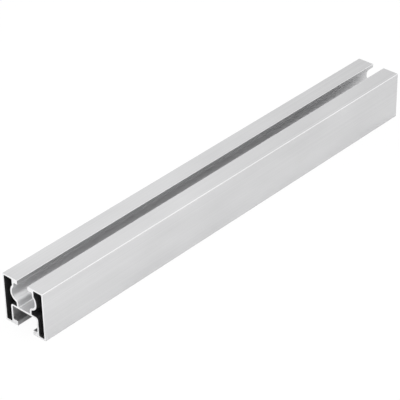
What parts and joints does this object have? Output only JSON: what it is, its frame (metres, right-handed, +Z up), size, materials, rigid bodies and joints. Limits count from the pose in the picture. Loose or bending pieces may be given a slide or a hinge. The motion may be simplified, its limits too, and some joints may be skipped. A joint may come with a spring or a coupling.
{
  "type": "solar mounting rail",
  "caption": "Straight extruded aluminium rail with a T-slot along its top, an open channel along its underside and a hollow chamber down each side, for fastening solar panels.",
  "frame": {"origin": "centre of the rail's underside, halfway along its length", "axes": "+X along the length, +Y across the section, +Z up towards the mouth of the T-slot"},
  "size_m": [0.4, 0.04, 0.04],
  "materials": {
    "anodised_aluminium": "satin clear anodised, with fine die lines along the length and bright sawn ends"
  },
  "bodies": {
    "root": {"rail": "anodised_aluminium"}
  },
  "joints": []
}
